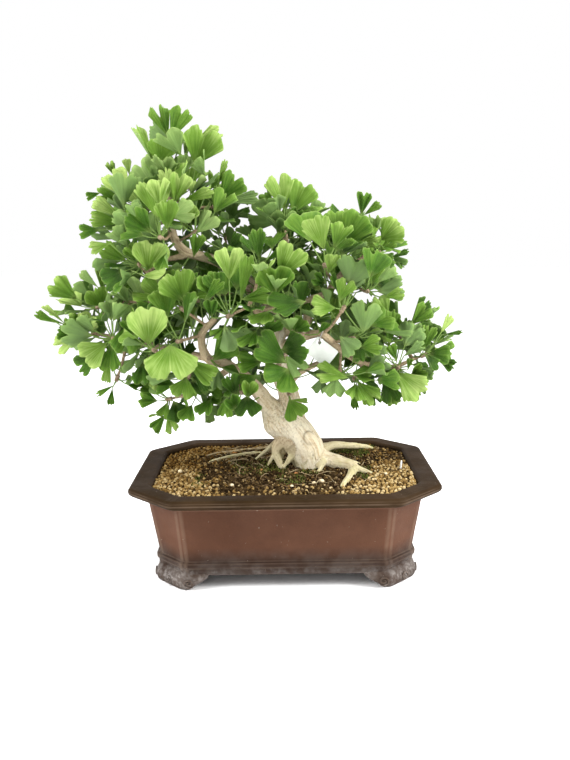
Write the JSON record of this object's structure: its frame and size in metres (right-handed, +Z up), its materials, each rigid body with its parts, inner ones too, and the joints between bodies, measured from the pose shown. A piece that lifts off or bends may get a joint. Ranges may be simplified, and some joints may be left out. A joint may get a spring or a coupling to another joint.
{
  "type": "ginkgo bonsai",
  "caption": "Leaning ginkgo bonsai with fan leaves on short shoots, surface roots in a granular soil bed and a footed rectangular clay pot with cut corners.",
  "frame": {"origin": "on the surface that the pot stands on, under the middle of the whole object; the middle of the pot is 37 mm further along +X, because the foliage reaches further to the left", "axes": "+Z up, +X along the pot's long side towards the right as seen from the front, -Y towards the viewer in front"},
  "size_m": [0.48, 0.256, 0.5132],
  "materials": {
    "glazed_clay": "fired brown clay with a thin satin slip, darker on the rim, worn pale on the edges",
    "soil": "rough baked clay grains and dark humus",
    "mesh_plastic": "matte black mesh",
    "bark": "pale cream bark with tan streaks and fine cracks",
    "tag": "matte white card, blank",
    "wire": "thin dull wire",
    "leaf": "living leaf, satin, finely ribbed, paler underneath"
  },
  "bodies": {
    "root": {"pot": "glazed_clay", "soil": "soil", "drain_screen_1": "mesh_plastic", "drain_screen_2": "mesh_plastic", "wood": "bark", "tag_card": "tag", "tag_ring": "wire", "spray_apex": "leaf", "spray_crown_right": "leaf", "spray_crown_front": "leaf", "spray_neck_right": "leaf", "spray_crown_left": "leaf", "spray_shoulder": "leaf", "spray_crown_low": "leaf", "spray_neck_low": "leaf", "spray_upper_left": "leaf", "spray_left_back": "leaf", "spray_left_middle": "leaf", "spray_far_left_top": "leaf", "spray_far_left": "leaf", "spray_left_low": "leaf", "spray_left_front": "leaf", "spray_left_fan": "leaf", "spray_left_under": "leaf", "spray_left_hanging": "leaf", "spray_low_left": "leaf", "spray_low_left_inner": "leaf", "spray_centre": "leaf", "spray_centre_high": "leaf", "spray_centre_right": "leaf", "spray_heart": "leaf", "spray_heart_right": "leaf", "spray_front_low": "leaf", "spray_funnels": "leaf", "spray_trunk_right": "leaf", "spray_left_centre": "leaf", "spray_top_right": "leaf", "spray_right_centre": "leaf", "spray_right_high": "leaf", "spray_right_top": "leaf", "spray_right_shoulder": "leaf", "spray_right_middle": "leaf", "spray_right_front": "leaf", "spray_right_end_top": "leaf", "spray_right_end": "leaf", "spray_right_low_front": "leaf", "spray_right_low_end": "leaf", "spray_right_low": "leaf", "spray_right_under": "leaf", "spray_back_crown": "leaf", "spray_back_neck": "leaf", "spray_back_left_high": "leaf", "spray_back_far_left": "leaf", "spray_back_left": "leaf", "spray_back_middle": "leaf", "spray_back_top": "leaf", "spray_back_right": "leaf", "spray_back_right_low": "leaf", "spray_back_right_end": "leaf", "spray_back_low_left": "leaf"}
  },
  "joints": []
}
